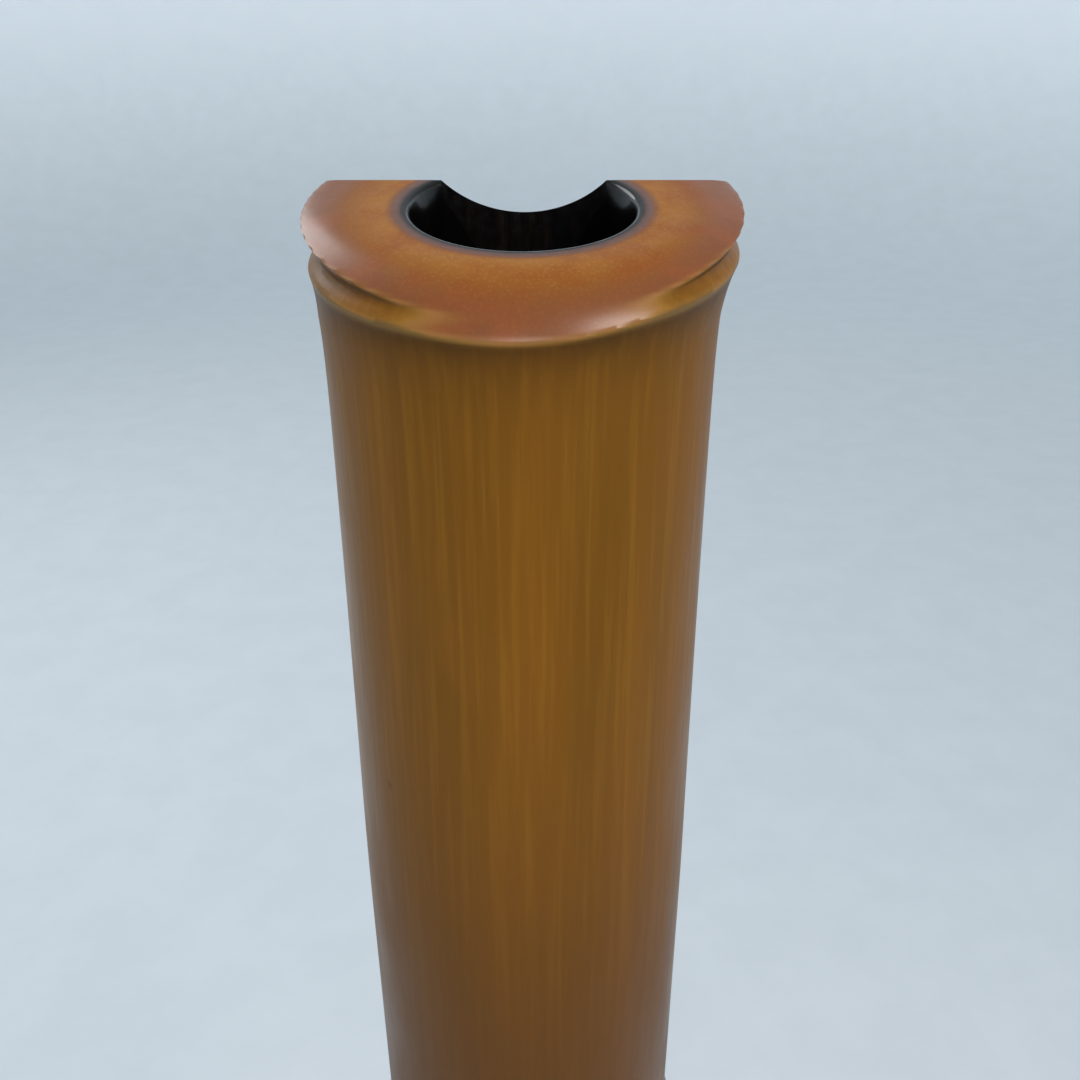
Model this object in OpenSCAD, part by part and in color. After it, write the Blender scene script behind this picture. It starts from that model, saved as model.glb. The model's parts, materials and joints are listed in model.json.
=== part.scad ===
// Shakuhachi: an end-blown bamboo flute that parts at a middle joint.
// Millimetres. +Z runs up the bore from the root end to the blowing end, the finger holes face +Y
// and the player's chin is on the -Y side. The origin is the centre of the bore at the root end.

/* [Flute] */
// Height of the ridge at the blowing end above the root end
flute_len = 545; // [540:1:555]
// Height at which the two halves meet
joint_z = 250; // [248:1:251]

/* [Blowing end] */
// Bore radius at the mouth
mouth_bore_r = 10; // [9.6:0.1:10.4]
// Fall of the mouth face towards the chin, in degrees
mouth_tilt = 10; // [6:1:14]
// Radius of the rounded rim round the mouth face
rim_round = 8.8; // [8.4:0.1:9.2]
// How far the straight ridge lies in front of the bore axis
ridge_y = 6.4; // [5.8:0.1:7]
// Fall of the blowing facet in front of the ridge, in degrees
facet_slope = 44.5; // [40:0.5:55]
// Half width of the horn inlay along the ridge
inlay_top_w = 8.4; // [8:0.1:9]
// Half width of the horn inlay at its foot
inlay_foot_w = 3.4; // [2.5:0.1:4.5]
// Height of the horn inlay
inlay_h = 9.5; // [8:0.5:10.5]

/* [Finger holes] */
// Radius of a finger hole
hole_r = 5; // [4.5:0.1:5.2]
// Width of the eased edge round a finger hole
hole_ease = 0.9; // [0.5:0.1:1.2]

/* [Middle joint] */
// Outer radius of the tenon
tenon_r = 12; // [11.8:0.1:12.3]
// How far the tenon stands out of the lower half
tenon_out = 22; // [20:0.5:22]
// How deep the tenon is glued into the lower half
tenon_in = 14; // [12:0.5:14]
// Radial clearance of the tenon in its socket
tenon_gap = 0.05; // [0.02:0.01:0.1]
// Width of each metal ring beside the joint
ring_w = 4; // [3:0.5:5]
// Turns of rattan in each binding
binding_turns = 7; // [5:1:7]

/* [Root end] */
// Lean of each of the three root segments from the one above it, in degrees
root_bend = 2; // [0:0.5:2.5]
// Radius of a trimmed root stub
stub_r = 1.7; // [1.2:0.1:2]

/* [Hidden] */
$fn = 96;
far = 60; // longer than any radius, for cutting tools
joint_gap = 0.05; // hairline between the two halves

// Nodes of the bamboo, as height of the groove and height of the ridges above the culm
fushi = [[24, 2.0], [52, 2.0], [92, 1.7], [190, 1.5], [297, 1.3], [421, 1.2]];
root_fushi = 3;
mouth_fushi = [flute_len - 3.2, 1.8];
mouth_fushi_lean = 7; // the node at the mouth leans towards the chin, in degrees
scar_drop = 1.9; // the sheath scar lies this far below the groove
swell_rise = 2.1; // the swelling above it lies this far above the groove
fushi_steps = [-12, -8, -5.5, -3.8, -2.7, -1.9, -1.3, -0.6, 0, 0.7, 1.4, 2.1, 3, 4.2, 6, 8.5, 12];

// Radius of the culm between its nodes, against height
culm_waist = [
    [-10, 26], [0, 27], [10, 28], [24, 27.2], [52, 23.2], [92, 20.2], [130, 19.1], [190, 18.7],
    [250, 18.3], [297, 18.1], [360, 18.0], [421, 18.4], [470, 18.5], [505, 18.15], [525, 18.05],
    [570, 18.05]
];

// Radius of the finished bore, against height
peg_bore_r = 9;
peg_bore_h = 22;
bore = [
    [-1, peg_bore_r], [peg_bore_h, peg_bore_r], [26, 8.3], [110, 8.4], [joint_z, 9.1],
    [480, mouth_bore_r], [570, mouth_bore_r]
];
upper_drill_r = mouth_bore_r + 1.5;
lower_drill_r = 11;
tenon_drill_r = 10.2;

front_holes = [120, 173, 226, 279];
thumb_hole = 312;

socket_r = tenon_r + tenon_gap;
sleeve_t = 1.15;
sleeve_r = socket_r + sleeve_t;
tenon_top = joint_z + tenon_out;
tenon_foot = joint_z - tenon_in;
socket_room = 0.4; // space above the tenon's end
socket_top = tenon_top + socket_room;
ring_seat_r = 17.2;
ring_out_r = 18.65;
strand_w = 1.5;
strand_t = 1.2;
binding_w = strand_w * binding_turns;
thread_d = 0.5;
thread_turns = 20;
thread_rise = 6; // the thread starts this far above the joint
thread_z = joint_z + thread_rise;
mouth_z = flute_len - ridge_y * tan(mouth_tilt); // height of the mouth face on the bore axis
rim_r = 26;
rim_shift = 4.6; // the rim is rounded about an axis this far in front of the bore
rim_opening = 0.53; // below the rim the cut opens out by this much for each millimetre down

// ---- Profiles ----

function sorted(v) = len(v) < 2 ? v :
    let (pivot = v[floor(len(v) / 2)])
    concat(
        sorted([for (x = v) if (x < pivot) x]),
        [pivot],
        sorted([for (x = v) if (x > pivot) x])
    );

// Height of a node's sharp scar and rounded swelling, u above its groove, for a node 1 high
function ridges(u) =
    let (scar = u + scar_drop, swell = u - swell_rise)
    max(
        0.6 * (scar < 0 ? exp(scar / 3) : exp(-pow(scar / 1.1, 2))),
        swell < 0 ? exp(-pow(swell / 2, 2)) : exp(-pow(swell / 3.2, 2))
    );

function culm_r(z) = lookup(z, culm_waist) + max([for (f = fushi) f[1] * ridges(z - f[0])]);

// Heights that a culm's outline needs between two ends: close together at nodes, and every waist point
function stations(z0, z1) = sorted(concat(
    [z0, z1],
    [for (f = fushi, s = fushi_steps) if (f[0] + s > z0 && f[0] + s < z1) f[0] + s],
    [for (w = culm_waist) if (w[0] > z0 && w[0] < z1) w[0]]
));

// The mouth node's radius, u above its groove, which sinks into the culm away from the groove
function mouth_fushi_r(u) =
    lookup(mouth_fushi[0] + u, culm_waist) + mouth_fushi[1] * ridges(u) - 0.006 * u * u;

function bore_r(z) = lookup(z, bore);

function bore_outline(z0, z1) =
    [for (z = concat([z0], [for (b = bore) if (b[0] > z0 && b[0] < z1) b[0]], [z1])) [bore_r(z), z]];

// ---- Shared shapes ----

module ring(r_in, r_out, z0, z1) {
    rotate_extrude() translate([r_in, z0]) square([r_out - r_in, z1 - z0]);
}

module culm_skin(z0, z1) {
    rotate_extrude() polygon(concat([[0, z0]], [for (z = stations(z0, z1)) [culm_r(z), z]], [[0, z1]]));
}

module mouth_node() {
    last = len(fushi_steps) - 1;
    translate([0, 0, mouth_fushi[0]]) rotate([mouth_fushi_lean, 0, 0]) rotate_extrude()
        polygon(concat(
            [[0, fushi_steps[0]]], [for (u = fushi_steps) [mouth_fushi_r(u), u]], [[0, fushi_steps[last]]]
        ));
}

// A lining from the finished bore out to a drilled hole of radius r_out
module lining(r_out, z0, z1) {
    rotate_extrude() polygon(concat(bore_outline(z0, z1), [[r_out, z1], [r_out, z0]]));
}

// A finger hole's cutter along +Y, with an eased outer edge where the culm's radius is skin_r
module hole_cutter(z, skin_r) {
    translate([0, 0, z]) rotate([-90, 0, 0]) {
        cylinder(r = hole_r, h = far);
        translate([0, 0, skin_r - hole_ease])
            cylinder(r1 = hole_r, r2 = hole_r + 2 * hole_ease, h = 2 * hole_ease);
    }
}

module front_hole_cutters() {
    for (z = front_holes) hole_cutter(z, culm_r(z));
}

module thumb_hole_cutter() {
    rotate([0, 0, 180]) hole_cutter(thumb_hole, culm_r(thumb_hole));
}

// Everything below the tilted mouth face, with a rounded rim that opens out below it
module below_mouth() {
    rim = [for (a = [90:-15:0]) [rim_r - rim_round * (1 - cos(a)), rim_round * (sin(a) - 1)]];
    opening = [[rim_r + rim_opening * rim_round, -2 * rim_round], [3 * far, -far]];
    translate([0, 0, mouth_z]) rotate([mouth_tilt, 0, 0]) translate([0, rim_shift, 0]) rotate_extrude()
        polygon(concat([[0, 0]], rim, opening, [[3 * far, -6 * far], [0, -6 * far]]));
}

// The wedge of air in front of the ridge, above the blowing facet
module facet_cutter() {
    translate([-far, ridge_y, flute_len]) rotate([-facet_slope, 0, 0]) cube([2 * far, 2 * far, far]);
}

// The block that the horn inlay is cut from
module inlay_block() {
    translate([0, far, flute_len]) rotate([90, 0, 0]) linear_extrude(far - ridge_y)
        polygon([[-inlay_foot_w, -inlay_h], [inlay_foot_w, -inlay_h], [inlay_top_w, 0], [-inlay_top_w, 0]]);
}

module mouth_shape() {
    difference() {
        intersection() {
            union() {
                culm_skin(joint_z + joint_gap, flute_len + 3);
                mouth_node();
            }
            below_mouth();
        }
        facet_cutter();
    }
}

// Seats for a joint's metal ring and binding; way is +1 above the joint and -1 below it
module joint_seats(way) {
    start = joint_z + (way > 0 ? joint_gap : 0);
    ring_end = start + way * ring_w;
    for (seat = [[start - way, ring_end], [ring_end, ring_end + way * binding_w]])
        ring(ring_seat_r, far, min(seat), max(seat));
}

module joint_ring(way) {
    start = joint_z + (way > 0 ? joint_gap : 0);
    end = start + way * ring_w;
    z0 = min(start, end);
    ease = 0.4;
    rotate_extrude() polygon([
        [ring_seat_r, z0], [ring_out_r - ease, z0], [ring_out_r, z0 + ease],
        [ring_out_r, z0 + ring_w - ease], [ring_out_r - ease, z0 + ring_w], [ring_seat_r, z0 + ring_w]
    ]);
}

// Turns of split rattan side by side, flat inside and crowned outside
module joint_binding(way) {
    start = joint_z + (way > 0 ? joint_gap : 0) + way * ring_w;
    z0 = min(start, start + way * binding_w);
    crown = 0.45;
    outline = [for (i = [0:binding_turns - 1], a = [0:30:150])
        [ring_seat_r + strand_t - crown * (1 - sin(a)), z0 + strand_w * (i + 0.5 - cos(a) / 2)]];
    rotate_extrude() polygon(concat(
        [[ring_seat_r, z0]], outline,
        [[ring_seat_r + strand_t - crown, z0 + binding_w], [ring_seat_r, z0 + binding_w]]
    ));
}

// ---- Upper half ----

module upper_culm() {
    color("#7a4f1c") difference() {
        mouth_shape();
        ring(0, upper_drill_r, socket_top - 1, flute_len + 5);
        ring(0, sleeve_r, joint_z - 1, socket_top);
        joint_seats(1);
        inlay_block();
        front_hole_cutters();
        thumb_hole_cutter();
    }
}

module upper_bore_lining() {
    color("#14100f") difference() {
        intersection() {
            lining(upper_drill_r, socket_top, flute_len + 3);
            below_mouth();
        }
        facet_cutter();
        inlay_block();
        front_hole_cutters();
        thumb_hole_cutter();
    }
}

module blowing_edge_inlay() {
    color("#0c0b0b") difference() {
        intersection() {
            mouth_shape();
            inlay_block();
        }
        cylinder(r = mouth_bore_r, h = flute_len + 5);
    }
}

module socket_sleeve() {
    color("#3a1510") ring(socket_r, sleeve_r, joint_z + joint_gap, socket_top);
}

module upper_joint_ring() {
    color("silver") joint_ring(1);
}

module upper_joint_binding() {
    color("#4a2c12") joint_binding(1);
}

// ---- Lower half ----

// Root stubs in a row round a root node, trimmed just proud of the culm
module root_stubs(z, count) {
    proud = 0.9;
    for (i = [0:count - 1]) rotate([0, 0, (i + 0.5) * 360 / count]) translate([culm_r(z) - 3, 0, z])
        rotate([0, 90, 0]) cylinder(r = stub_r, h = 3 + proud, $fn = 24);
}

// A straight length of culm that starts in the groove at z0 and ends in a spigot in the groove at z1,
// so that the next length up can lean from it
module culm_length(z0, z1) {
    spigot_r = culm_r(z1) - 0.4;
    spigot_foot = z1 - 0.2;
    spigot_top = z1 + 1.5;
    skin = [for (z = stations(z0, z1 - 1.3)) [culm_r(z), z]];
    rotate_extrude() polygon(concat(
        [[0, z0 - 1], [culm_r(z0), z0 - 1]], skin,
        [[spigot_r, spigot_foot], [spigot_r, spigot_top], [0, spigot_top]]
    ));
}

// Root segment i hangs below node i and leans from the one above it, as bamboo bends at its nodes
module root_segment(i) {
    top = fushi[i][0];
    foot = i > 0 ? fushi[i - 1][0] : -5;
    translate([0, 0, top]) rotate([root_bend, 0, 0]) translate([0, 0, -top]) {
        culm_length(foot, top);
        root_stubs(i > 0 ? foot + 4.2 : 11, 16 - i);
        if (i > 0) root_segment(i - 1);
    }
}

module lower_culm() {
    top_root = fushi[root_fushi - 1][0];
    color("#7a4f1c") difference() {
        union() {
            culm_skin(top_root, joint_z);
            ring(0, culm_r(top_root), top_root - 1, top_root + 1);
            root_segment(root_fushi - 1);
        }
        translate([-far, -far, -far]) cube([2 * far, 2 * far, far]);
        ring(0, lower_drill_r, -1, tenon_foot + 1);
        ring(0, tenon_r, tenon_foot, joint_z + 1);
        joint_seats(-1);
        front_hole_cutters();
    }
}

module lower_bore_lining() {
    color("#14100f") difference() {
        union() {
            lining(lower_drill_r, 0, tenon_foot);
            lining(tenon_drill_r, tenon_foot, tenon_top);
        }
        for (z = front_holes) if (z < joint_z) hole_cutter(z, culm_r(z));
    }
}

module tenon_tube() {
    color("#9a6a2e") difference() {
        ring(tenon_drill_r, tenon_r, tenon_foot, tenon_top);
        ring(tenon_r - thread_d, far, thread_z, thread_z + thread_turns * thread_d);
    }
}

// Thread wound in a shallow recess of the tenon, which takes up the last play in the socket
module tenon_thread() {
    play = 0.02;
    r_in = tenon_r - thread_d + play;
    r_out = socket_r - play;
    valley_r = r_out - 0.12;
    foot = thread_z + play;
    top = thread_z + thread_turns * thread_d - play;
    crests = [for (i = [0:thread_turns - 1]) [r_out, thread_z + thread_d * (i + 0.5)]];
    valleys = [for (i = [1:thread_turns - 1]) [valley_r, thread_z + thread_d * i]];
    turns = [for (i = [0:thread_turns - 2], point = [crests[i], valleys[i]]) point];
    color("#d8c9a0") rotate_extrude() polygon(concat(
        [[r_in, foot], [valley_r, foot]], turns, [crests[thread_turns - 1], [valley_r, top], [r_in, top]]
    ));
}

module lower_joint_ring() {
    color("silver") joint_ring(-1);
}

module lower_joint_binding() {
    color("#4a2c12") joint_binding(-1);
}

upper_culm();
upper_bore_lining();
blowing_edge_inlay();
socket_sleeve();
upper_joint_ring();
upper_joint_binding();
tenon_thread();
tenon_tube();
lower_joint_ring();
lower_joint_binding();
lower_bore_lining();
lower_culm();
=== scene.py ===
"""The looks of a shakuhachi, an end-blown bamboo flute that parts at a middle joint.

Shapes are worked out in millimetres, in the frame of the CAD part: +Z runs up the bore, the finger
holes face +Y and the player's chin is on the -Y side. They are built in metres.
"""

import json
import math
import random

import bmesh
import bpy
import numpy as np
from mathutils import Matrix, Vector


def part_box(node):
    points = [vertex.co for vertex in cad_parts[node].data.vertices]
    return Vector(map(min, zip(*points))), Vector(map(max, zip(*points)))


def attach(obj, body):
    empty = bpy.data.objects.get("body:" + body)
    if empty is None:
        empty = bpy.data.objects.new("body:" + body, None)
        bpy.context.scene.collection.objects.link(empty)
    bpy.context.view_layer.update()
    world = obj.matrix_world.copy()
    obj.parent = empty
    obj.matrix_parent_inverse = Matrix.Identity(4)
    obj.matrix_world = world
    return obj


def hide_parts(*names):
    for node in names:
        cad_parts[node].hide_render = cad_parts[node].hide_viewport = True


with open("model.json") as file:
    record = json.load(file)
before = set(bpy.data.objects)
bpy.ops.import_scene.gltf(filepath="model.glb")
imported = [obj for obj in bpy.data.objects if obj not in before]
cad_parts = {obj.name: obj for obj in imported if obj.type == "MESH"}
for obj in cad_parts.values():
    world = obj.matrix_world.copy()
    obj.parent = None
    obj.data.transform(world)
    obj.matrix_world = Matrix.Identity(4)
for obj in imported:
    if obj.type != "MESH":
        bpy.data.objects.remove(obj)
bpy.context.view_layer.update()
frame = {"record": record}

MM = 0.001
TURN = 2 * math.pi
DICE = random.Random(18)


# ---- Sizes ----

def low(node):
    """A CAD node's lowest corner in millimetres."""
    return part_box(node)[0] / MM


def high(node):
    """A CAD node's highest corner in millimetres."""
    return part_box(node)[1] / MM


FLUTE_TOP = high("upper_culm").z
UPPER_FOOT = low("upper_culm").z
LOWER_TOP = high("lower_culm").z
SOCKET_TOP = high("socket_sleeve").z
SLEEVE_R = high("socket_sleeve").x
TENON_R = high("tenon_tube").x
TENON_TOP = high("tenon_tube").z
TENON_FOOT = low("tenon_tube").z
THREAD_FOOT = low("tenon_thread").z
THREAD_TOP = high("tenon_thread").z
THREAD_OUT_R = high("tenon_thread").x
RING_R = high("upper_joint_ring").x
BINDING_R = high("upper_joint_binding").x
UPPER_DRILL_R = high("upper_bore_lining").x
LOWER_DRILL_R = high("lower_bore_lining").x

# The rest repeats the part's own driving dimensions, which its solids don't give directly
MOUTH_TILT = math.radians(10)
RIDGE_Y = 6.4
FACET_SLOPE = math.radians(44.5)
MOUTH_Z = FLUTE_TOP - RIDGE_Y * math.tan(MOUTH_TILT)
RIM_R = 26
RIM_ROUND = 8.8
RIM_SHIFT = 4.6  # the rim is rounded about an axis this far in front of the bore
RIM_OPENING = 0.53
CUT_SOFT = 0.16  # rounding where the mouth's cut meets the skin
SOCKET_R = 12.05
RING_SEAT_R = 17.2
CULM_SEAT_R = RING_SEAT_R - 0.03
INLAY_TOP_W = 8.4
INLAY_FOOT_W = 3.4
INLAY_H = 9.5
HOLE_R = 5
TENON_DRILL_R = 10.2
THREAD_RECESS = 0.5
THREAD_TURNS = 19
BORE = [(-1, 9), (22, 9), (26, 8.3), (110, 8.4), (250, 9.1), (480, 10), (570, 10)]

# Nodes of the bamboo: height of the groove, and height of the ridges beside it above the culm
MOUTH_NODE_Z = FLUTE_TOP - 3.2
MOUTH_NODE_FALL = 2.34
NODES = [(24, 2.0), (52, 2.0), (92, 1.7), (190, 1.5), (297, 1.3), (421, 1.2), (MOUTH_NODE_Z, 1.8)]
ROOT_NODES = 3
SCAR_DROP = 1.9
SWELL_RISE = 2.1
CULM_WAIST = [
    (-10, 26), (0, 27), (10, 28), (24, 27.2), (52, 23.2), (92, 20.2), (130, 19.1), (190, 18.7),
    (250, 18.3), (297, 18.1), (360, 18.0), (421, 18.4), (470, 18.5), (505, 18.15), (525, 18.05),
    (570, 18.05),
]
# Shift of the culm towards +X against height, which bows it a little
CULM_BOW = [(400, 0), (480, -0.3), (535, -0.3), (542, 0.25), (570, 0.25)]
ROOT_BEND = math.radians(2)
ROOT_STUB_ROWS = [(11, 16), (28.2, 15), (56.2, 14)]  # height of each row and its number of stubs
SKIN_INSET = 0.1  # keeps the uneven skin inside the even skin of the CAD part
FAR = 60  # longer than any radius, for cutting tools

COLUMNS = 288
THETA = np.arange(COLUMNS) * TURN / COLUMNS


# ---- The culm's shape ----

def smooth_step(x):
    x = np.clip(x, 0, 1)
    return x * x * (3 - 2 * x)


def soft_min(a, b, reach):
    """The lesser of a and b, with the corner between them rounded over reach."""
    near = np.clip(0.5 + 0.5 * (b - a) / reach, 0, 1)
    return b * (1 - near) + a * near - reach * near * (1 - near)


WAIST_Z = np.arange(-10, 570, 0.5)
WAIST_BLUR = np.exp(-np.square(np.arange(-12, 12.5, 0.5) / 5))
WAIST_R = np.convolve(
    np.pad(np.interp(WAIST_Z, *zip(*CULM_WAIST)), len(WAIST_BLUR) // 2, mode="edge"),
    WAIST_BLUR / WAIST_BLUR.sum(), mode="valid",
)


def node_wander(index, theta):
    """How far node index's groove and scar stand above their mean heights at angle theta."""
    if index == len(NODES) - 1:
        fall = MOUTH_NODE_FALL * np.sin(theta)
        return fall + 0.44 * np.cos(theta), fall + 0.36 * np.cos(theta) + 0.1 * np.cos(2 * theta + 1)
    dice = random.Random(100 + index)
    tilt, lean, wave, turn = (dice.uniform(0, TURN) for _ in range(4))
    groove = 0.35 * np.cos(theta - tilt) + 0.12 * np.cos(2 * theta - wave)
    return groove, groove + 0.25 * np.cos(theta - lean) + 0.12 * np.cos(3 * theta - turn)


def node_offsets(index, theta, z):
    """Heights above node index's groove and above its scar and swelling."""
    groove, scar = node_wander(index, theta)
    above = z - NODES[index][0]
    return above - groove, above + SCAR_DROP - scar, above - SWELL_RISE - groove


def ridge_height(scar, swell):
    """Height of a node's sharp sheath scar and of its rounded swelling, for a node 1 high."""
    scar_h = np.where(scar < 0, np.exp(np.minimum(scar, 0) / 3), np.exp(-np.square(scar / 0.95)))
    swell_h = np.where(swell < 0, np.exp(-np.square(swell / 1.75)), np.exp(-np.square(swell / 3.2)))
    return np.maximum(0.6 * scar_h, swell_h)


def skin_radius(theta, z):
    """Radius of the culm's natural skin, with its nodes and a slight unevenness."""
    base = np.interp(z, WAIST_Z, WAIST_R)
    base = base + 0.07 * np.cos(2 * theta + z / 90) + 0.04 * np.cos(3 * theta - z / 61 + 1)
    base = base + np.interp(z, *zip(*CULM_BOW)) * np.cos(theta)
    ridge = 0
    for index, (_, rise) in enumerate(NODES):
        _, scar, swell = node_offsets(index, theta, z)
        ridge = np.maximum(ridge, rise * ridge_height(scar, swell))
    return base + ridge - SKIN_INSET


def bore_radius(z):
    return np.interp(z, *zip(*BORE))


def untilt(x, y, z):
    """A point in the frame of the tilted mouth face, whose plane is at height 0."""
    c, s = math.cos(MOUTH_TILT), math.sin(MOUTH_TILT)
    return x, y * c + (z - MOUTH_Z) * s, (z - MOUTH_Z) * c - y * s


def rim_points(r, h):
    """Points on the circle of radius r about the rim's axis, h above the mouth face."""
    away = RIM_SHIFT * np.sin(THETA) + np.sqrt(r * r - np.square(RIM_SHIFT * np.cos(THETA)))
    x, y = away * np.cos(THETA), away * np.sin(THETA)
    c, s = math.cos(MOUTH_TILT), math.sin(MOUTH_TILT)
    return np.stack([x, y * c - h * s, MOUTH_Z + y * s + h * c], axis=-1)


def rim_limit(h):
    """Radius of the rounded mouth rim at height h from the mouth face."""
    inside = np.clip(1 + h / RIM_ROUND, 0, 1)
    arc = RIM_R - RIM_ROUND * (1 - np.sqrt(1 - inside * inside))
    limit = np.where(h < -RIM_ROUND, RIM_R - (h + RIM_ROUND) * RIM_OPENING, arc)
    return np.where(h > 0, -1, limit)


def cut_radius(theta, z):
    """Radius at which the rounded mouth cut crosses height z at angle theta, by halving."""
    inner = np.zeros(np.broadcast(theta, z).shape)
    outer = inner + FAR
    for _ in range(26):
        middle = (inner + outer) / 2
        x, y, h = untilt(middle * np.cos(theta), middle * np.sin(theta), z)
        within = np.hypot(x, y - RIM_SHIFT) < rim_limit(h)
        inner = np.where(within, middle, inner)
        outer = np.where(within, outer, middle)
    return inner


def skin_heights(z0, z1):
    """Row heights from z0 to z1: close together at nodes, wider between them."""
    fine, coarse, reach = 0.34, 3.0, 5
    kept = [z0]
    while kept[-1] < z1 - 0.3:
        away = min(abs(kept[-1] - node_z) for node_z, _ in NODES)
        kept.append(kept[-1] + min(fine + 0.3 * max(away - reach, 0), coarse))
    return kept[:-1] + [z1]


def ring(r, z, theta=THETA):
    """A ring of points at radius r and height z, either of which may change round it."""
    r, z = np.broadcast_to(r, theta.shape), np.broadcast_to(z, theta.shape)
    return np.stack([r * np.cos(theta), r * np.sin(theta), z], axis=-1)


def steps(a, b, count):
    """count values that run from a up to, and without, b."""
    return [a + (b - a) * i / count for i in range(count)]


CAP_FOOT = MOUTH_NODE_Z - 13
CAP_ROWS = 62
RIM_ROWS = 40
FACE_ROWS = 14


def mouth_rings(foot, inner_r):
    """Rings up the culm's skin from foot, over the rounded cut and in across the mouth face."""
    rings = [ring(skin_radius(THETA, z), z) for z in skin_heights(foot, CAP_FOOT)[:-1]]
    rim_foot = rim_points(RIM_R, -RIM_ROUND)[:, 2]
    for share in steps(0, 1, CAP_ROWS):
        z = CAP_FOOT + (rim_foot - CAP_FOOT) * (1 - (1 - share) ** 1.6)
        rings.append(ring(soft_min(skin_radius(THETA, z), cut_radius(THETA, z), CUT_SOFT), z))
    for a in steps(0, math.pi / 2, RIM_ROWS) + [math.pi / 2]:
        points = rim_points(RIM_R - RIM_ROUND * (1 - math.cos(a)), RIM_ROUND * (math.sin(a) - 1))
        theta = np.arctan2(points[:, 1], points[:, 0])
        r = np.hypot(points[:, 0], points[:, 1])
        kept = soft_min(skin_radius(theta, points[:, 2]), r, CUT_SOFT) / r
        rings.append(points * np.stack([kept, kept, np.ones(COLUMNS)], axis=-1))
    outer = rings[-1]
    inner = ring(inner_r, 0)
    inner[:, 2] = MOUTH_Z + inner[:, 1] * math.tan(MOUTH_TILT)
    for share in steps(0, 1, FACE_ROWS)[1:] + [1]:
        rings.append(outer + (inner - outer) * share)
    return rings


# ---- Meshes ----

def mesh_piece(name, points, faces, *materials):
    """A mesh from points in millimetres, whose faces have the last of the materials."""
    mesh = bpy.data.meshes.new(name)
    mesh.from_pydata(np.asarray(points) * MM, [], faces)
    for material in materials:
        mesh.materials.append(material)
    mesh.polygons.foreach_set("material_index", [len(materials) - 1] * len(mesh.polygons))
    mesh.validate()
    piece = bpy.data.objects.new(name, mesh)
    bpy.context.scene.collection.objects.link(piece)
    return piece


def strip_faces(rows, columns, join_rows, start=0):
    """Quads between rows of points, each row closed round, and the last row joined to the first."""
    faces = []
    for i in range(rows if join_rows else rows - 1):
        a, b = start + i * columns, start + (i + 1) % rows * columns
        for j in range(columns):
            k = (j + 1) % columns
            faces.append((a + j, a + k, b + k, b + j))
    return faces


def ring_solid(name, rings, material):
    """A closed solid round the bore: its rings go up outside and come down inside."""
    points = np.concatenate(rings)
    return mesh_piece(name, points, strip_faces(len(rings), len(rings[0]), True), material)


def eased(corners, count=5):
    """An outline through (r, z, ease) corners, each rounded over its own ease."""
    outline = []
    for i, (r, z, ease) in enumerate(corners):
        here = Vector((r, z))
        if ease == 0:
            outline.append(here)
            continue
        before = Vector(corners[i - 1][:2]) - here
        after = Vector(corners[(i + 1) % len(corners)][:2]) - here
        a, b = here + before.normalized() * ease, here + after.normalized() * ease
        for t in [k / count for k in range(count + 1)]:
            outline.append(a * (1 - t) ** 2 + here * 2 * t * (1 - t) + b * t * t)
    return outline


def turned(name, corners, material, columns=192):
    """A turned piece from an eased outline that goes up outside and comes down inside."""
    theta = np.arange(columns) * TURN / columns
    return ring_solid(name, [ring(p.x, p.y, theta) for p in eased(corners)], material)


def winding(name, r_bed, r_out, z0, z1, turns, material, segments, section, tuck):
    """One strand wound side by side between two heights, whose ends dive under."""
    width = (z1 - z0) / (turns + 1)
    count = turns * segments
    points = []
    for i in range(count + 1):
        along = i / count
        theta = TURN * turns * along
        end = min(i, count - i) / (segments * tuck)
        sink = (r_out - r_bed) * 0.55 * (1 - smooth_step(end))
        middle = z0 + width / 2 + (z1 - z0 - width) * along
        for across, lift in section:
            r = r_bed + (r_out - r_bed) * lift - sink * lift
            points.append((r * math.cos(theta), r * math.sin(theta), middle + across * width))
    size = len(section)
    faces = strip_faces(count + 1, size, False)
    faces.append(tuple(reversed(range(size))))
    faces.append(tuple(count * size + j for j in range(size)))
    return mesh_piece(name, points, faces, material)


def settle(piece):
    """Applies the piece's modifiers."""
    graph = bpy.context.evaluated_depsgraph_get()
    mesh = bpy.data.meshes.new_from_object(piece.evaluated_get(graph))
    piece.modifiers.clear()
    piece.data = mesh


def carve(piece, tool, operation="DIFFERENCE"):
    """Cuts the piece with a tool, whose material slot the new faces take."""
    cut = piece.modifiers.new("carve", "BOOLEAN")
    cut.operation = operation
    cut.solver = "MANIFOLD"
    cut.object = tool
    settle(piece)
    bpy.data.objects.remove(tool)


def one_material(piece):
    """Every face takes the piece's own material."""
    mesh = piece.data
    while len(mesh.materials) > 1:
        mesh.materials.pop()
    mesh.polygons.foreach_set("material_index", [0] * len(mesh.polygons))


def join(name, pieces):
    """One piece from several."""
    with bpy.context.temp_override(
        active_object=pieces[0], object=pieces[0], selected_objects=pieces,
        selected_editable_objects=pieces,
    ):
        bpy.ops.object.join()
    pieces[0].name = name
    return pieces[0]


def crisp(piece, degrees=32):
    """Smooth shading with real edges kept crisp."""
    mesh = piece.data
    work = bmesh.new()
    work.from_mesh(mesh)
    bmesh.ops.remove_doubles(work, verts=work.verts, dist=1e-7)
    bmesh.ops.dissolve_degenerate(work, edges=work.edges, dist=1e-7)
    work.to_mesh(mesh)
    work.free()
    mesh.shade_smooth()
    mesh.set_sharp_from_angle(angle=math.radians(degrees))


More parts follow.
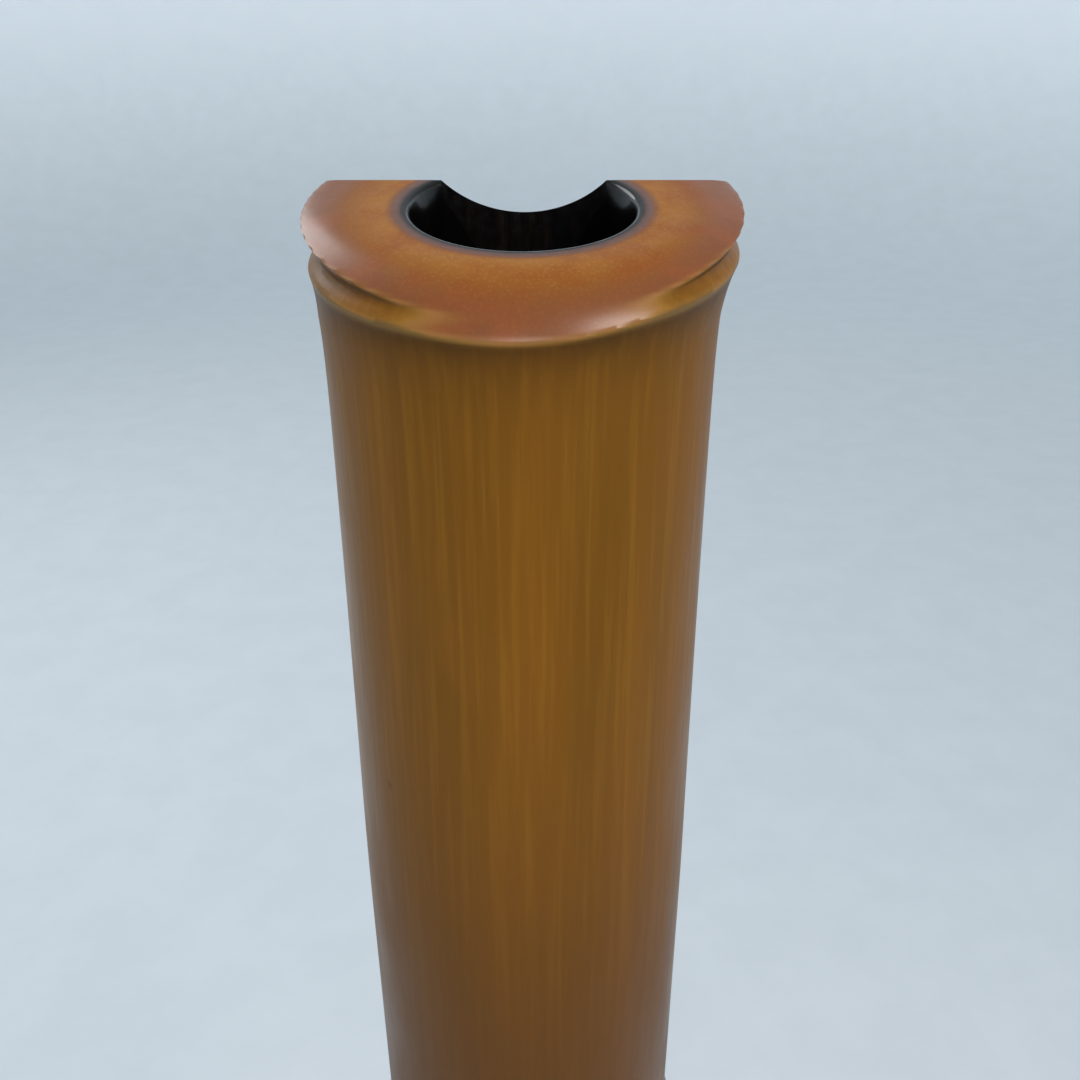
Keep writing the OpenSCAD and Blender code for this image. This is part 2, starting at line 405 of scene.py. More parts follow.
def weigh(piece, name, function):
    """Stores function(theta, r, z), from 0 to 1, on the piece's points for its material."""
    count = len(piece.data.vertices)
    flat = np.empty(count * 3, np.float32)
    piece.data.vertices.foreach_get("co", flat)
    x, y, z = (flat.reshape(-1, 3).astype(float) / MM).T
    values = np.broadcast_to(function(np.arctan2(y, x), np.hypot(x, y), z), (count,))
    stored = piece.data.attributes.new(name, "FLOAT", "POINT")
    stored.data.foreach_set("value", np.ascontiguousarray(values, np.float32))


def belong(piece, body, slot, *nodes):
    """The piece rides on a body and stands for CAD nodes; slot is not used."""
    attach(piece, body)
    if nodes:
        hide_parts(*nodes)
    return piece


# ---- Materials ----

class Look:
    """A material under construction, whose nodes feed one Principled shader."""

    def __init__(self, name, **uniform):
        self.material = bpy.data.materials.new(name)
        self.material.use_nodes = True
        self.tree = self.material.node_tree
        self.shader = self.tree.nodes["Principled BSDF"]
        for socket, value in uniform.items():
            label = socket.replace("_", " ").title().replace("Ior", "IOR")
            self.shader.inputs[label].default_value = value

    def add(self, kind, feeds=(), **settings):
        made = self.tree.nodes.new(kind)
        for key, value in settings.items():
            setattr(made, key, value)
        for key, value in dict(feeds).items():
            self.feed(made.inputs[key], value)
        return made

    def feed(self, socket, value):
        if isinstance(value, bpy.types.NodeSocket):
            self.tree.links.new(value, socket)
        else:
            socket.default_value = value

    def place(self, *stretch):
        """The point on the piece in millimetres, times stretch along X, Y and Z."""
        where = self.add("ShaderNodeTexCoord").outputs["Object"]
        feeds = {0: where, 1: tuple(s / MM for s in stretch)}
        return self.add("ShaderNodeVectorMath", feeds, operation="MULTIPLY").outputs[0]

    def stored(self, name):
        return self.add("ShaderNodeAttribute", attribute_name=name).outputs["Fac"]

    def noise(self, where, scale, detail=2.0, roughness=0.5, distortion=0.0):
        feeds = {"Vector": where, "Scale": scale, "Detail": detail, "Roughness": roughness}
        return self.add("ShaderNodeTexNoise", feeds | {"Distortion": distortion}).outputs["Fac"]

    def cells(self, where, scale, randomness=1.0):
        feeds = {"Vector": where, "Scale": scale, "Randomness": randomness}
        return self.add("ShaderNodeTexVoronoi", feeds).outputs["Distance"]

    def maths(self, operation, a, b=0.0):
        return self.add("ShaderNodeMath", {0: a, 1: b}, operation=operation).outputs[0]

    def fit(self, value, a, b, c=0.0, d=1.0):
        """value from the range a to b smoothly into the range c to d."""
        feeds = {"Value": value, "From Min": a, "From Max": b, "To Min": c, "To Max": d}
        return self.add("ShaderNodeMapRange", feeds, interpolation_type="SMOOTHSTEP").outputs[0]

    def mix(self, share, a, b, blend="MIX"):
        made = self.add("ShaderNodeMix", data_type="RGBA", blend_type=blend)
        self.feed(made.inputs[0], share)
        self.feed(made.inputs[6], a if isinstance(a, bpy.types.NodeSocket) else (*a, 1))
        self.feed(made.inputs[7], b if isinstance(b, bpy.types.NodeSocket) else (*b, 1))
        return made.outputs[2]

    def tint(self, colour, share, strength, other):
        """colour turned towards other by share times strength."""
        return self.mix(self.maths("MULTIPLY", share, strength), colour, other)

    def bump(self, height, depth, below=None):
        """Relief of height 0 to 1 and depth in millimetres, over any relief below it."""
        made = self.add("ShaderNodeBump", {"Height": height, "Distance": depth * MM})
        if below is not None:
            self.feed(made.inputs["Normal"], below)
        return made.outputs[0]

    def done(self, colour, roughness, normal=None):
        self.feed(self.shader.inputs["Base Color"], colour)
        self.feed(self.shader.inputs["Roughness"], roughness)
        if normal is not None:
            self.feed(self.shader.inputs["Normal"], normal)
        return self.material


def height_of(look):
    """Height on the piece in millimetres."""
    split = look.add("ShaderNodeSeparateXYZ", {0: look.place(1, 1, 1)})
    return split.outputs[2]


def bamboo_skin():
    """Smoked golden skin with fibres and blotches, painted shade down the culm and under the nodes, and
    the orange cut of the mouth.
    """
    look = Look("bamboo", ior=1.45, specular_ior_level=0.15, coat_roughness=0.26)
    fibre = look.noise(look.place(1, 1, 0.03), 1.3, 3, 0.55)
    fine = look.noise(look.place(1, 1, 0.04), 5.5, 2, 0.5)
    band = look.noise(look.place(1, 1, 0.06), 0.11, 2, 0.5)
    blotch = look.noise(look.place(1, 1, 0.5), 0.09, 3, 0.5, 0.4)
    skin = look.mix(look.fit(band, 0.30, 0.70), (0.160, 0.068, 0.0042), (0.215, 0.083, 0.0050))
    skin = look.mix(look.fit(blotch, 0.45, 0.70, 0, 0.50), skin, (0.205, 0.080, 0.0065))
    skin = look.mix(look.fit(fibre, 0.40, 0.75, 0, 0.22), skin, (0.370, 0.170, 0.0150))
    skin = look.mix(look.fit(fine, 0.60, 0.80, 0, 0.14), skin, (0.130, 0.050, 0.0050))
    spot = look.fit(look.cells(look.place(1, 1, 0.6), 0.085), 0.035, 0.055, 1, 0)
    skin = look.tint(skin, spot, 0.55, (0.090, 0.034, 0.0060))
    # Painted shade: the skin darkens down the culm below the mouth, standing in for light that falls off
    skin = look.mix(look.fit(height_of(look), 512, 440, 0, 0.85), skin, (0.105, 0.038, 0.0030))
    skin = look.mix(look.fit(height_of(look), 120, 20, 0, 0.5), skin, (0.170, 0.054, 0.0080))
    # Painted shade under each node's sheath scar, mixed with the darker stain the skin has there
    skin = look.tint(skin, look.stored("under"), 0.95, (0.032, 0.012, 0.0015))
    skin = look.tint(skin, look.stored("groove"), 0.75, (0.060, 0.024, 0.006))
    skin = look.tint(skin, look.stored("scar"), 0.5, (0.360, 0.210, 0.060))
    skin = look.tint(skin, look.stored("hole"), 0.6, (0.080, 0.030, 0.006))
    cut = look.stored("cut")
    colour = look.mix(cut, skin, cap_colour(look))
    colour = look.tint(colour, look.stored("cut_edge"), 0.4, (0.420, 0.230, 0.045))
    rim = look.fit(look.stored("bore_side"), 0.45, 0.05, 0, 0.6)
    look.feed(look.shader.inputs["Coat Weight"], look.maths("MULTIPLY", cut, rim))
    rough = look.fit(blotch, 0.3, 0.7, 0.28, 0.40)
    rough = look.maths("ADD", rough, look.maths("MULTIPLY", cut, 0.05))
    relief = look.bump(fibre, 0.02)
    relief = look.bump(fine, 0.008, relief)
    relief = look.bump(look.noise(look.place(1, 1, 0.3), 0.3, 2), 0.08, relief)
    return look.done(colour, rough, relief)


def cap_colour(look):
    """The cut through the node: yellow near the bore and redder outside, with bundles of fibres."""
    near = look.stored("bore_side")
    cloud = look.noise(look.place(1, 1, 1), 0.22, 3, 0.55)
    base = look.mix(look.fit(near, 0.0, 0.85), (0.200, 0.060, 0.0120), (0.335, 0.135, 0.0200))
    base = look.mix(look.fit(cloud, 0.42, 0.68, 0, 0.65), base, (0.255, 0.068, 0.0120))
    bundle = look.fit(look.cells(look.place(1, 1, 0.7), 2.6), 0.12, 0.50, 1, 0)
    bundle = look.maths("MULTIPLY", bundle, look.fit(near, 0.1, 0.8, 0.04, 0.20))
    base = look.mix(bundle, base, (0.520, 0.270, 0.0700))
    pore = look.fit(look.noise(look.place(1, 1, 1), 4.2, 2), 0.60, 0.72)
    base = look.tint(base, pore, 0.22, (0.160, 0.050, 0.0120))
    return look.mix(look.fit(near, 0.88, 1.0, 0, 0.8), base, (0.175, 0.075, 0.040))


def bamboo_cut():
    """Bare bamboo cut along the grain: the blowing facet, the hole walls and the ends."""
    look = Look("bamboo_cut", ior=1.45, specular_ior_level=0.3)
    grain = look.noise(look.place(1, 1, 0.08), 2.4, 3, 0.6)
    base = look.mix(look.fit(grain, 0.35, 0.68), (0.290, 0.110, 0.020), (0.460, 0.220, 0.050))
    dash = look.fit(look.cells(look.place(1, 1, 0.12), 2.3), 0.12, 0.36, 1, 0)
    base = look.tint(base, dash, 0.35, (0.160, 0.060, 0.018))
    rough = look.fit(grain, 0.3, 0.7, 0.36, 0.50)
    return look.done(base, rough, look.bump(grain, 0.05))


def bore_lacquer():
    """Black urushi, brown where it thins at the ground mouth edge."""
    look = Look("bore_lacquer", ior=1.5, specular_ior_level=0.35)
    edge = look.stored("edge")
    brush = look.noise(look.place(1, 1, 0.06), 0.8, 2)
    base = look.mix(look.fit(brush, 0.3, 0.7), (0.0012, 0.0010, 0.0010), (0.0026, 0.0021, 0.0020))
    cloud = look.noise(look.place(1, 1, 1), 1.2, 3)
    ground = look.mix(cloud, (0.105, 0.050, 0.040), (0.190, 0.090, 0.060))
    colour = look.mix(look.fit(edge, 0.25, 1.0), base, ground)
    rough = look.fit(edge, 0.0, 1.0, 0.16, 0.42)
    relief = look.bump(look.noise(look.place(1, 1, 0.2), 0.25, 2), 0.08)
    return look.done(colour, rough, relief)


def horn():
    look = Look("horn", ior=1.56, coat_weight=0.2, coat_roughness=0.1)
    streak = look.noise(look.place(1, 0.3, 0.12), 1.1, 3, 0.6, 0.4)
    colour = look.mix(look.fit(streak, 0.45, 0.8), (0.0030, 0.0026, 0.0025), (0.0110, 0.0080, 0.0065))
    rough = look.fit(look.noise(look.place(1, 1, 1), 0.9, 3), 0.3, 0.7, 0.14, 0.26)
    return look.done(colour, rough, look.bump(look.noise(look.place(6, 1, 1), 1.6, 2), 0.01))


def socket_lacquer():
    look = Look("socket_lacquer", ior=1.52, coat_weight=0.2, coat_roughness=0.2)
    worn = look.fit(look.noise(look.place(1, 1, 0.3), 0.6, 4, 0.65), 0.45, 0.75)
    colour = look.mix(worn, (0.090, 0.016, 0.008), (0.035, 0.012, 0.009))
    turned_in = look.noise(look.place(0.05, 0.05, 1), 3.0, 2)
    return look.done(colour, look.fit(worn, 0, 1, 0.22, 0.45), look.bump(turned_in, 0.03))


def tenon_bamboo():
    look = Look("tenon_bamboo", ior=1.5, coat_weight=0.25, coat_roughness=0.25)
    grain = look.noise(look.place(1, 1, 0.05), 2.2, 3, 0.6)
    base = look.mix(look.fit(grain, 0.35, 0.7), (0.300, 0.130, 0.035), (0.470, 0.260, 0.090))
    rub = look.fit(look.noise(look.place(0.2, 0.2, 1), 0.9, 3), 0.55, 0.75, 0, 0.5)
    base = look.mix(rub, base, (0.160, 0.060, 0.020))
    return look.done(base, look.fit(grain, 0.3, 0.7, 0.28, 0.42), look.bump(grain, 0.05))


def hemp_thread():
    look = Look("thread", sheen_weight=0.3)
    ply = look.noise(look.place(1, 1, 1), 3.2, 3, 0.6)
    wax = look.noise(look.place(1, 1, 0.5), 0.35, 2)
    colour = look.mix(look.fit(ply, 0.35, 0.7), (0.330, 0.230, 0.110), (0.640, 0.520, 0.330))
    colour = look.mix(look.fit(wax, 0.5, 0.75, 0, 0.5), colour, (0.300, 0.190, 0.080))
    return look.done(colour, look.fit(wax, 0.3, 0.7, 0.75, 0.5), look.bump(ply, 0.12))


def silver():
    look = Look("silver", metallic=1.0)
    tarnish = look.fit(look.noise(look.place(1, 1, 1), 0.45, 4, 0.6), 0.45, 0.75)
    groove = look.stored("groove")
    colour = look.mix(look.maths("MULTIPLY", tarnish, 0.6), (0.700, 0.680, 0.640), (0.420, 0.370, 0.300))
    colour = look.tint(colour, groove, 0.85, (0.060, 0.050, 0.040))
    lines = look.noise(look.place(0.25, 0.25, 5), 2.2, 2)
    rough = look.fit(lines, 0.3, 0.7, 0.20, 0.34)
    rough = look.maths("ADD", rough, look.maths("MULTIPLY", tarnish, 0.12))
    relief = look.bump(lines, 0.012)
    scratch = look.fit(look.noise(look.place(1, 1, 9), 1.2, 1), 0.66, 0.7)
    return look.done(colour, rough, look.bump(scratch, 0.012, relief))


def rattan():
    look = Look("rattan", ior=1.5, coat_weight=0.35, coat_roughness=0.2)
    fibre = look.noise(look.place(0.12, 0.12, 1), 4.5, 3, 0.6)
    patch = look.noise(look.place(1, 1, 1), 0.3, 3)
    colour = look.mix(look.fit(fibre, 0.35, 0.7), (0.055, 0.020, 0.008), (0.170, 0.070, 0.024))
    colour = look.mix(look.fit(patch, 0.5, 0.75, 0, 0.6), colour, (0.230, 0.105, 0.038))
    return look.done(colour, look.fit(fibre, 0.3, 0.7, 0.24, 0.40), look.bump(fibre, 0.05))


def root_scar():
    """Trimmed roots: a pale ring of fibres round a dark pith."""
    look = Look("root_scar", ior=1.5, coat_weight=0.2, coat_roughness=0.3)
    share = look.stored("share")
    speck = look.noise(look.place(1, 1, 1), 2.6, 3, 0.6)
    colour = look.mix(look.fit(speck, 0.35, 0.7), (0.200, 0.085, 0.024), (0.400, 0.210, 0.070))
    colour = look.mix(look.fit(share, 0.30, 0.12, 0, 0.8), colour, (0.070, 0.028, 0.010))
    colour = look.mix(look.fit(share, 0.80, 1.05, 0, 0.85), colour, (0.075, 0.028, 0.008))
    return look.done(colour, look.fit(speck, 0.3, 0.7, 0.36, 0.5), look.bump(speck, 0.08))


BAMBOO = bamboo_skin()
BAMBOO_CUT = bamboo_cut()
BORE_LACQUER = bore_lacquer()
HORN = horn()
SOCKET_LACQUER = socket_lacquer()
TENON_BAMBOO = tenon_bamboo()
THREAD = hemp_thread()
SILVER = silver()
RATTAN = rattan()
ROOT_SCAR = root_scar()


# ---- Cutting tools ----

def hole_places():
    """Each finger hole's height, and +1 where it faces +Y or -1 where it faces -Y."""
    places = []
    for opening in frame["record"]["physics"]["openings"]:
        if "hole" in opening["name"]:
            (_, y0, z0), (_, y1, z1) = opening["box_m"]
            places.append(((z0 + z1) / 2 / MM, 1 if y0 + y1 > 0 else -1))
    return places


HOLES = hole_places()


def hole_tool(z, way, columns=72):
    """A finger hole's cutter, whose rounded lip follows the skin all round."""
    ease, lip_turn, lip_rows = 0.9, math.radians(66), 7
    foot_y, near_skin_y = 7, 18
    phi = np.arange(columns) * TURN / columns

    def lip(r, drop):
        x = r * np.cos(phi)
        height = z + r * np.sin(phi)
        theta = np.arctan2(way * near_skin_y, x)
        skin = skin_radius(theta, height)
        return np.stack([x, way * (np.sqrt(skin * skin - x * x) - drop), height], axis=-1)

    foot = np.full(columns, way * foot_y)
    rings = [np.stack([HOLE_R * np.cos(phi), foot, z + HOLE_R * np.sin(phi)], axis=-1)]
    for a in [k * lip_turn / lip_rows for k in range(lip_rows + 1)]:
        rings.append(lip(HOLE_R + ease * (1 - math.cos(a)), ease * (1 - math.sin(a)) - 0.04))
    rings.append(lip(HOLE_R + ease * 1.5, -2.5))
    points = np.concatenate(rings)
    faces = strip_faces(len(rings), columns, False)
    faces.append(tuple(reversed(range(columns))))
    faces.append(tuple((len(rings) - 1) * columns + j for j in range(columns)))
    if way > 0:
        faces = [tuple(reversed(face)) for face in faces]
    return mesh_piece("hole_tool", points, faces, BAMBOO, BAMBOO_CUT)


def prism(name, outline, y0, y1, *materials):
    """An outline in X and Z, anticlockwise seen from -Y, drawn out from y0 to y1."""
    count = len(outline)
    points = [(x, y, z) for y in (y0, y1) for x, z in outline]
    faces = [(i, (i + 1) % count, count + (i + 1) % count, count + i) for i in range(count)]
    faces += [tuple(reversed(range(count))), tuple(range(count, 2 * count))]
    return mesh_piece(name, points, [tuple(reversed(face)) for face in faces], *materials)


def facet_tool():
    """The air in front of the ridge and above the blowing facet."""
    down = FAR * math.tan(FACET_SLOPE)
    corners = [
        (RIDGE_Y, FLUTE_TOP), (RIDGE_Y + FAR, FLUTE_TOP - down), (RIDGE_Y + FAR, FLUTE_TOP + FAR),
        (RIDGE_Y, FLUTE_TOP + FAR),
    ]
    points = [(x, y, z) for x in (-FAR, FAR) for y, z in corners]
    faces = [(0, 1, 5, 4), (1, 2, 6, 5), (2, 3, 7, 6), (3, 0, 4, 7), (3, 2, 1, 0), (4, 5, 6, 7)]
    return mesh_piece("facet_tool", points, faces, BAMBOO, BAMBOO_CUT)


def inlay_tool(inset=0.0):
    """The trapezoid block that the horn is let into."""
    foot = FLUTE_TOP - INLAY_H + inset
    outline = [
        (-INLAY_FOOT_W + inset, foot), (INLAY_FOOT_W - inset, foot),
        (INLAY_TOP_W - inset, FLUTE_TOP + 0.02), (-INLAY_TOP_W + inset, FLUTE_TOP + 0.02),
    ]
    return prism("inlay_tool", outline, RIDGE_Y + inset * 0.5, 50, BAMBOO, BAMBOO_CUT)


# ---- Bamboo ----

def groove_share(theta, r, z):
    """How close a point lies to the dark line of a node's groove."""
    offsets = [node_offsets(i, theta, z)[0] for i in range(len(NODES))]
    return np.max([np.exp(-np.square((u + 0.2) / 0.55)) for u in offsets], axis=0)


def scar_share(theta, r, z):
    """How close a point lies to the pale edge of a node's sheath scar."""
    offsets = [node_offsets(i, theta, z)[1] for i in range(len(NODES))]
    return np.max([np.exp(-np.square((u + 0.15) / 0.4)) for u in offsets], axis=0)


def stain_and_shade_under_share(theta, r, z):
    """How close a point lies under a node's sheath scar, where painted shade joins the skin's darker
    stain.
    """
    offsets = [node_offsets(i, theta, z)[1] for i in range(len(NODES))]
    return np.max([np.where(u < 0, np.exp(np.minimum(u, 0) / 2.6), 0) for u in offsets], axis=0)


def hole_share(theta, r, z):
    """How close a point lies to a finger hole's edge."""
    share = 0
    for hole_z, way in HOLES:
        away = np.hypot(r * np.cos(theta), z - hole_z) - HOLE_R
        facing = np.sin(theta) * way > 0
        near = np.exp(-np.square(np.maximum(away, 0) / 1.3))
        share = np.maximum(share, np.where(facing, near, 0))
    return share


def cut_share(theta, r, z):
    """1 on the orange cut of the mouth, and 0 on the skin below it."""
    near_top = z > CAP_FOOT
    z = np.where(near_top, z, CAP_FOOT)
    over = skin_radius(theta, z) - cut_radius(theta, z)
    groove = node_offsets(len(NODES) - 1, theta, z)[0]
    share = np.maximum(smooth_step(over / CUT_SOFT + 0.5), smooth_step((groove + 0.1) / 0.5))
    return np.where(near_top, share, 0)


def cut_edge_share(theta, r, z):
    """How close a point lies to the lower edge of the mouth's cut."""
    near_top = z > CAP_FOOT
    z = np.where(near_top, z, CAP_FOOT)
    over = skin_radius(theta, z) - cut_radius(theta, z)
    return np.where(near_top & (z < MOUTH_NODE_Z), np.exp(-np.square((over - 0.05) / 0.22)), 0)


def bore_side_share(theta, r, z):
    """1 at the bore's edge of the mouth face, and 0 near the culm's skin."""
    face_r = 18
    return np.where(z > CAP_FOOT, np.clip((face_r - r) / (face_r - UPPER_DRILL_R), 0, 1), 0)


def mark_bamboo(piece):
    weigh(piece, "groove", groove_share)
    weigh(piece, "scar", scar_share)
    weigh(piece, "under", stain_and_shade_under_share)
    weigh(piece, "hole", hole_share)
    weigh(piece, "cut", cut_share)
    weigh(piece, "cut_edge", cut_edge_share)
    weigh(piece, "bore_side", bore_side_share)


def upper_bamboo():
    ring_foot, ring_top = low("upper_joint_ring").z, high("upper_joint_ring").z
    seat_top = high("upper_joint_binding").z
    rings = [ring(CULM_SEAT_R, z) for z in (ring_foot, ring_top, seat_top)]
    rings += mouth_rings(seat_top, UPPER_DRILL_R)
    rings += [ring(UPPER_DRILL_R, z) for z in (480, 400, SOCKET_TOP)]
    rings += [ring(SLEEVE_R, z) for z in (SOCKET_TOP, ring_foot)]
    piece = ring_solid("upper_bamboo", rings, BAMBOO)
    piece.data.materials.append(BAMBOO_CUT)
    carve(piece, facet_tool())
    carve(piece, inlay_tool())
    for z, way in HOLES:
        if z > UPPER_FOOT:
            carve(piece, hole_tool(z, way))
    crisp(piece)
    mark_bamboo(piece)
    return belong(piece, "upper_half", "bamboo", "upper_culm")


def bend_path():
    """Lean and centre of the root against the straight culm's height."""
    blend, step = 2.5, 0.05
    s = np.arange(-8, NODES[ROOT_NODES - 1][0] + blend + step, step)
    bends = [smooth_step((z + blend - s) / (2 * blend)) for z, _ in NODES[:ROOT_NODES]]
    lean = ROOT_BEND * sum(bends)
    below = lambda v: np.cumsum(v[::-1])[::-1] * step
    return s, lean, below(np.sin(lean)), s[-1] - below(np.cos(lean))


PATH_S, PATH_LEAN, PATH_Y, PATH_Z = bend_path()


def lean_point(theta, r, s):
    """A point of the leaning root from its place on a straight culm."""
    top = PATH_S[-1]
    lean = np.where(s < top, np.interp(s, PATH_S, PATH_LEAN), 0)
    y = np.where(s < top, np.interp(s, PATH_S, PATH_Y), 0)
    z = np.where(s < top, np.interp(s, PATH_S, PATH_Z), s)
    x, across = r * np.cos(theta), r * np.sin(theta)
    y, z = y + across * np.cos(lean), z + across * np.sin(lean)
    return np.stack(np.broadcast_arrays(x, y, z), axis=-1)


def root_foot(theta):
    """Straight height at which the leaning skin reaches the floor, by halving."""
    a, b = np.full(theta.shape, -8.0), np.full(theta.shape, 12.0)
    for _ in range(24):
        middle = (a + b) / 2
        under = lean_point(theta, skin_radius(theta, middle), middle)[:, 2] < 0
        a, b = np.where(under, middle, a), np.where(under, b, middle)
    return b


def lower_bamboo():
    ring_foot, seat_foot = low("lower_joint_ring").z, low("lower_joint_binding").z
    foot, ease, foot_top = root_foot(THETA), 1.4, 14
    rings = []
    for a in steps(0, math.pi / 2, 8):
        s = foot + ease * (1 - math.cos(a))
        r = skin_radius(THETA, s) - ease * (1 - math.sin(a))
        points = lean_point(THETA, r, s)
        points[:, 2] = np.maximum(points[:, 2], 0)
        rings.append(points)
    for share in steps(0, 1, 20):
        s = foot + ease + (foot_top - foot - ease) * share
        rings.append(lean_point(THETA, skin_radius(THETA, s), s))
    rings += [lean_point(THETA, skin_radius(THETA, s), s) for s in skin_heights(foot_top, seat_foot)]
    rings += [ring(CULM_SEAT_R, z) for z in (seat_foot, ring_foot, LOWER_TOP)]
    rings += [ring(TENON_R, z) for z in (LOWER_TOP, TENON_FOOT)]
    rings += [ring(LOWER_DRILL_R, z) for z in (TENON_FOOT, 160, 80, 0)]
    outer, inner = rings[0], ring(LOWER_DRILL_R, 0)
    rings += [inner + (outer - inner) * share for share in steps(0, 1, 8)[1:]]
    piece = ring_solid("lower_bamboo", rings, BAMBOO)
    piece.data.materials.append(BAMBOO_CUT)
    for z, way in HOLES:
        if z < LOWER_TOP:
            carve(piece, hole_tool(z, way))
    cut_ends(piece)
    crisp(piece)
    mark_bamboo(piece)
    return belong(piece, "lower_half", "bamboo", "lower_culm")


def cut_ends(piece):
    """Gives the flat root face the bare bamboo's material."""
    for face in piece.data.polygons:
        if face.center.z < 0.02 * MM and abs(face.normal.z) > 0.95:
            face.material_index = 1


def root_scars():
    """Trimmed root stubs in rows under each root node, no two quite alike."""
    points, faces, shares = [], [], []
    columns = 20
    profile = [
        (1.25, -0.9), (1.08, 0.2), (1.0, 0.72), (0.9, 0.96), (0.74, 1.0), (0.5, 0.86), (0.25, 0.7),
    ]
    for row_z, count in ROOT_STUB_ROWS:
        for i in range(count):
            theta = (i + 0.5) * TURN / count + DICE.uniform(-0.09, 0.09)
            s = row_z + DICE.uniform(-1.3, 1.3)
            r, proud = DICE.uniform(1.15, 1.9), DICE.uniform(0.25, 0.55)
            centre = Vector(lean_point(theta, skin_radius(theta, s), s))
            lean = float(np.interp(s, PATH_S, PATH_LEAN))
            ahead = math.sin(theta)
            out = Vector((math.cos(theta), ahead * math.cos(lean), ahead * math.sin(lean)))
            side = Vector((-math.sin(theta), math.cos(theta), 0)).normalized()
            up = out.cross(side)
            start = len(points)
            for wide, tall in profile:
                for j in range(columns):
                    a = j * TURN / columns
                    uneven = 1 + 0.06 * math.cos(2 * a + i) + 0.04 * math.cos(3 * a + 2 * i)
                    across = (side * math.cos(a) + up * 1.12 * math.sin(a)) * r * wide * uneven
                    lift = tall * proud if tall > 0 else tall
                    points.append(centre + across + out * lift)
                    shares.append(wide)
            faces += strip_faces(len(profile), columns, False, start)
            faces.append(tuple(reversed(range(start, start + columns))))
            faces.append(tuple(start + (len(profile) - 1) * columns + j for j in range(columns)))
    piece = mesh_piece("root_scars", [tuple(p) for p in points], faces, ROOT_SCAR)
    stored = piece.data.attributes.new("share", "FLOAT", "POINT")
    stored.data.foreach_set("value", np.array(shares, np.float32))
    piece.data.shade_smooth()
    return belong(piece, "lower_half", "bamboo")


# ---- Linings, horn and joint ----

def upper_lacquer():
    """The black lining of the upper bore, its mouth edge softly rounded."""
    lip = 0.5
    bore = float(bore_radius(FLUTE_TOP))
    slope = math.tan(MOUTH_TILT)
    rings = [ring(UPPER_DRILL_R, z) for z in (SOCKET_TOP, 360, 480)]
    mouth = [(UPPER_DRILL_R, 0), (UPPER_DRILL_R - 0.5, 0), (bore + lip, 0)]
    for a in steps(0, math.pi / 2, 6)[1:]:
        mouth.append((bore + lip * (1 - math.sin(a)), lip * (1 - math.cos(a))))
    mouth += [(bore, depth) for depth in (lip, 3, 8, 16)]
    for r, depth in mouth:
        rings.append(ring(r, MOUTH_Z + r * np.sin(THETA) * slope - depth))
    rings += [ring(bore_radius(z), z) for z in np.linspace(515, SOCKET_TOP, 40)]
    piece = ring_solid("upper_bore_lacquer", rings, BORE_LACQUER)
    carve(piece, facet_tool())
    carve(piece, inlay_tool())
    for z, way in HOLES:
        if z > UPPER_FOOT:
            carve(piece, hole_tool(z, way))
    one_material(piece)
    crisp(piece)

    def edge_share(theta, r, z):
        depth = MOUTH_Z + r * np.sin(theta) * slope - z
        return smooth_step((r - bore - 0.15) / 1.2) * smooth_step((0.7 - depth) / 0.5)

    weigh(piece, "edge", edge_share)
    return belong(piece, "upper_half", "bore_lacquer", "upper_bore_lining")


def lower_lacquer():
    """The black lining of the lower bore, which runs on through the tenon."""
    rings = [ring(LOWER_DRILL_R, z) for z in (0, 120, TENON_FOOT)]
    rings += [ring(TENON_DRILL_R, z) for z in (TENON_FOOT, TENON_TOP)]
    lip = 0.25
    rings.append(ring(bore_radius(TENON_TOP) + lip, TENON_TOP))
    rings.append(ring(bore_radius(TENON_TOP), TENON_TOP - lip))
    rings += [ring(bore_radius(z), z) for z in np.linspace(TENON_TOP - 2, 26, 36)]
    rings += [ring(bore_radius(z), z) for z in (25, 24, 23, 22, 12, 1.2)]
    rings += [ring(bore_radius(0) + 0.3, 0.3), ring(bore_radius(0) + 0.8, 0)]
    piece = ring_solid("lower_bore_lacquer", rings, BORE_LACQUER)
    for z, way in HOLES:
        if z < LOWER_TOP:
            carve(piece, hole_tool(z, way))
    one_material(piece)
    crisp(piece)

    def edge_share(theta, r, z):
        return 0.55 * smooth_step((0.6 - z) / 0.5) * smooth_step((r - 9.5) / 1.2)

    weigh(piece, "edge", edge_share)
    return belong(piece, "lower_half", "bore_lacquer", "lower_bore_lining")


def horn_inlay():
    """The trapezoid of horn that carries the blowing edge, let in flush."""
    rings = mouth_rings(CAP_FOOT - 1, float(bore_radius(FLUTE_TOP)))
    rings.append(ring(bore_radius(FLUTE_TOP), CAP_FOOT - 1))
    piece = ring_solid("horn_inlay", rings, HORN)
    carve(piece, facet_tool())
    carve(piece, inlay_tool(0.03), "INTERSECT")
    one_material(piece)
    crisp(piece)
    return belong(piece, "upper_half", "horn", "blowing_edge_inlay")


def joint_ring(half, body):
    """A worn silver band with two fine engraved lines."""
    z0, z1 = low(half + "_joint_ring").z, high(half + "_joint_ring").z
    depth, half_width = 0.14, 0.13
    lines = [z0 + (z1 - z0) * share for share in (0.26, 0.74)]
    corners = [(RING_SEAT_R, z0, 0), (RING_R, z0, 0.35)]
    for z in lines:
        groove = [(RING_R, z - half_width), (RING_R - depth, z), (RING_R, z + half_width)]
        corners += [(*corner, 0.05) for corner in groove]
    corners += [(RING_R, z1, 0.35), (RING_SEAT_R, z1, 0)]
    piece = turned(half + "_silver_ring", corners, SILVER)
    crisp(piece, 40)

    def line_share(theta, r, z):
        return np.max([np.exp(-np.square((z - line) / 0.12)) for line in lines], axis=0)

    weigh(piece, "groove", line_share)
    return belong(piece, body, "silver", half + "_joint_ring")


